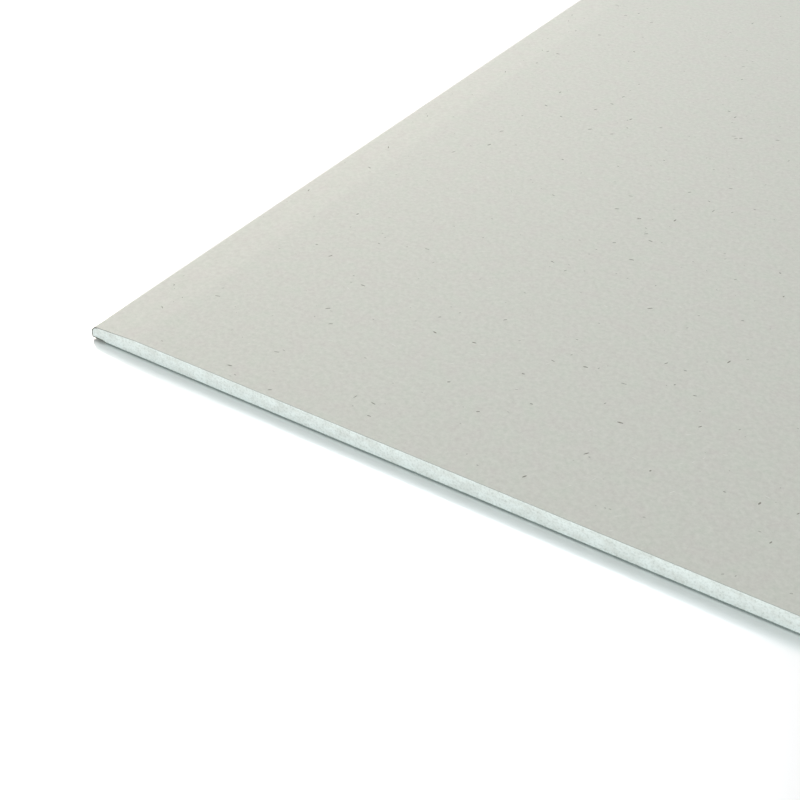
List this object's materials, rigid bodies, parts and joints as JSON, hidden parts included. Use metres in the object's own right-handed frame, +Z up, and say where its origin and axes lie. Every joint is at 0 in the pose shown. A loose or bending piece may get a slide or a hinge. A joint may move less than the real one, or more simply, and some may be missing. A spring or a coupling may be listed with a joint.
{
  "type": "drywall sheet",
  "caption": "Flat plasterboard sheet with tapered, paper-bound long edges and cut ends that show the white gypsum core, lying face up.",
  "frame": {"origin": "centre of the back of the sheet, on the ground that it lies on", "axes": "+X across the sheet from one tapered long edge to the other, +Y along the sheet, +Z up, out of the face"},
  "size_m": [1.2, 2.4, 0.0125],
  "materials": {
    "gypsum": "matt, chalky, sawn across",
    "face_liner": "matt ivory liner with fine fibre flecks",
    "back_liner": "matt grey-brown recycled liner"
  },
  "bodies": {
    "root": {"gypsum_core": "gypsum", "face_paper": "face_liner", "back_paper": "back_liner"}
  },
  "joints": []
}
